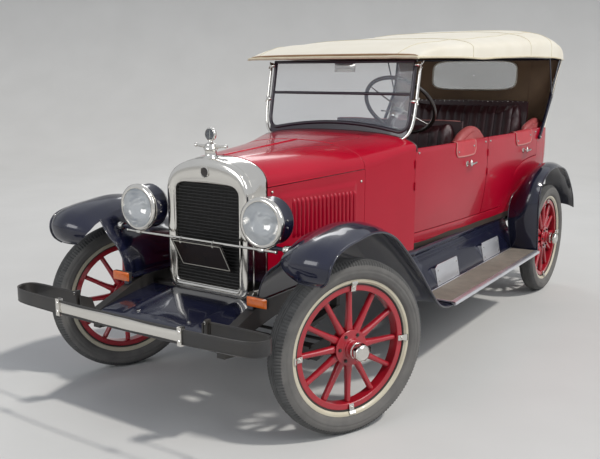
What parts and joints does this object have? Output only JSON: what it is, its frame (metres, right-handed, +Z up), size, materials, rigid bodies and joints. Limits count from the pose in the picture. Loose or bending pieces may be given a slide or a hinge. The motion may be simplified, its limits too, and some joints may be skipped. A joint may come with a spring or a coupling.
{
  "type": "touring car",
  "caption": "Open touring car with raised folding top, wooden spoked wheels, separate fenders, opening doors and hood, and wheels that roll and steer",
  "frame": {"origin": "on the ground under the middle of the overall length and width", "axes": "+X is the car's left side, +Y runs from the bumper to the rear, +Z is up"},
  "size_m": [1.7984, 4.068, 1.884],
  "materials": {
    "body_paint": "gloss",
    "black_paint": "gloss",
    "chassis_black": "satin",
    "nickel": "polished",
    "core_black": "matt",
    "glass_clear": "gloss",
    "plate_black": "satin",
    "amber": "gloss",
    "board_mat": "matt",
    "floor_wood": "matt",
    "maroon_leather": "satin",
    "canvas": "matt",
    "bow_wood": "satin",
    "spoke_red": "gloss",
    "tyre_rubber": "matt",
    "iron": "satin",
    "wheel_rim_dark": "gloss",
    "celluloid": "gloss"
  },
  "bodies": {
    "car": {"chassis_frame": "chassis_black", "front_axle": "chassis_black", "leaf_springs": "chassis_black", "rear_axle": "chassis_black", "engine_block": "iron", "exhaust": "iron", "fuel_tank": "chassis_black", "radiator_shell": "nickel", "radiator_core": "core_black", "headlamps": "black_paint", "headlamp_glasses": "glass_clear", "number_plate": "plate_black", "bumper": "black_paint", "bumper_face": "nickel", "small_lamps": "amber", "front_fenders": "black_paint", "rear_fenders": "black_paint", "running_boards": "board_mat", "splash_aprons": "black_paint", "body_tub": "body_paint", "floor_boards": "floor_wood", "windscreen_frame": "black_paint", "windscreen_glass": "glass_clear", "steering_column": "chassis_black", "front_seat": "maroon_leather", "rear_seat": "maroon_leather", "top_canvas": "canvas", "top_bows": "bow_wood", "rear_window": "celluloid", "spare_tyre": "tyre_rubber", "spare_carrier": "spoke_red"},
    "steering_wheel": {"steering_wheel": "wheel_rim_dark"},
    "knuckle_left": {"knuckle_left": "iron"},
    "knuckle_right": {"knuckle_right": "iron"},
    "tie_rod": {"tie_rod": "iron"},
    "door_front_left": {"door_front_left": "body_paint"},
    "door_front_right": {"door_front_right": "body_paint"},
    "door_rear_left": {"door_rear_left": "body_paint"},
    "door_rear_right": {"door_rear_right": "body_paint"},
    "hood_top_left": {"hood_top_left": "body_paint"},
    "hood_top_right": {"hood_top_right": "body_paint"},
    "hood_side_left": {"hood_side_left": "body_paint"},
    "hood_side_right": {"hood_side_right": "body_paint"},
    "wheel_front_left": {"wheel_front_left": "spoke_red", "tyre_front_left": "tyre_rubber"},
    "wheel_front_right": {"wheel_front_right": "spoke_red", "tyre_front_right": "tyre_rubber"},
    "wheel_rear_left": {"wheel_rear_left": "spoke_red", "tyre_rear_left": "tyre_rubber"},
    "wheel_rear_right": {"wheel_rear_right": "spoke_red", "tyre_rear_right": "tyre_rubber"}
  },
  "joints": [
    {"name": "steer_left", "type": "hinge", "parent": "car", "child": "knuckle_left", "pos_m": [0.651, -1.318, 0.3935], "axis": [0, 0, 1], "range_deg": [-7.5, 56.5]},
    {"name": "steer_right", "type": "hinge", "parent": "car", "child": "knuckle_right", "pos_m": [-0.651, -1.318, 0.3935], "axis": [0, 0, 1], "range_deg": [-7.5, 56.5]},
    {"name": "tie_rod_pivot", "type": "hinge", "parent": "knuckle_left", "child": "tie_rod", "pos_m": [0.7132, -1.18151, 0.333], "axis": [0, 0, 1], "range_deg": [-56.5, 7.5]},
    {"name": "steering_wheel_turn", "type": "hinge", "parent": "car", "child": "steering_wheel", "pos_m": [0.24, 0.057, 1.385], "axis": [0, 0.7592, 0.6509], "range_deg": [-91, 679]},
    {"name": "wheel_front_left_spin", "type": "hinge", "parent": "knuckle_left", "child": "wheel_front_left", "pos_m": [0.7056, -1.34288, 0.3935], "axis": [0.91, -0.4147, 0], "continuous": true},
    {"name": "wheel_rear_left_spin", "type": "hinge", "parent": "car", "child": "wheel_rear_left", "pos_m": [0.711, 1.527, 0.3935], "axis": [1, 0, 0], "continuous": true},
    {"name": "door_front_left_hinge", "type": "hinge", "parent": "car", "child": "door_front_left", "pos_m": [0.5225, -0.3075, 0.94], "axis": [0, 0, -1], "range_deg": [0, 70]},
    {"name": "door_rear_left_hinge", "type": "hinge", "parent": "car", "child": "door_rear_left", "pos_m": [0.6015, 0.6025, 0.94], "axis": [0, 0, -1], "range_deg": [0, 70]},
    {"name": "hood_left_lift", "type": "hinge", "parent": "car", "child": "hood_top_left", "pos_m": [0, -1.314, 1.186], "axis": [0, -0.9983, -0.0576], "range_deg": [0, 50]},
    {"name": "hood_side_left_fold", "type": "hinge", "parent": "hood_top_left", "child": "hood_side_left", "pos_m": [0.256, -1.314, 1.055], "axis": [0, -0.9983, -0.0576], "range_deg": [-51, 1]},
    {"name": "wheel_front_right_spin", "type": "hinge", "parent": "knuckle_right", "child": "wheel_front_right", "pos_m": [-0.7056, -1.29312, 0.3935], "axis": [0.91, -0.4147, 0], "continuous": true},
    {"name": "wheel_rear_right_spin", "type": "hinge", "parent": "car", "child": "wheel_rear_right", "pos_m": [-0.711, 1.527, 0.3935], "axis": [1, 0, 0], "continuous": true},
    {"name": "door_front_right_hinge", "type": "hinge", "parent": "car", "child": "door_front_right", "pos_m": [-0.5225, -0.3075, 0.94], "axis": [0, 0, 1], "range_deg": [0, 70]},
    {"name": "door_rear_right_hinge", "type": "hinge", "parent": "car", "child": "door_rear_right", "pos_m": [-0.6015, 0.6025, 0.94], "axis": [0, 0, 1], "range_deg": [0, 70]},
    {"name": "hood_right_lift", "type": "hinge", "parent": "car", "child": "hood_top_right", "pos_m": [0, -1.314, 1.186], "axis": [0, 0.9983, 0.0576], "range_deg": [0, 50]},
    {"name": "hood_side_right_fold", "type": "hinge", "parent": "hood_top_right", "child": "hood_side_right", "pos_m": [-0.256, -1.314, 1.055], "axis": [0, 0.9983, 0.0576], "range_deg": [-51, 1]}
  ],
  "couplings": [
    {"joint": "steer_right", "follows": "steer_left", "ratio": 1},
    {"joint": "tie_rod_pivot", "follows": "steer_left", "ratio": -1},
    {"joint": "steering_wheel_turn", "follows": "steer_left", "ratio": 12},
    {"joint": "hood_side_left_fold", "follows": "hood_left_lift", "ratio": -1},
    {"joint": "hood_side_right_fold", "follows": "hood_right_lift", "ratio": -1}
  ]
}
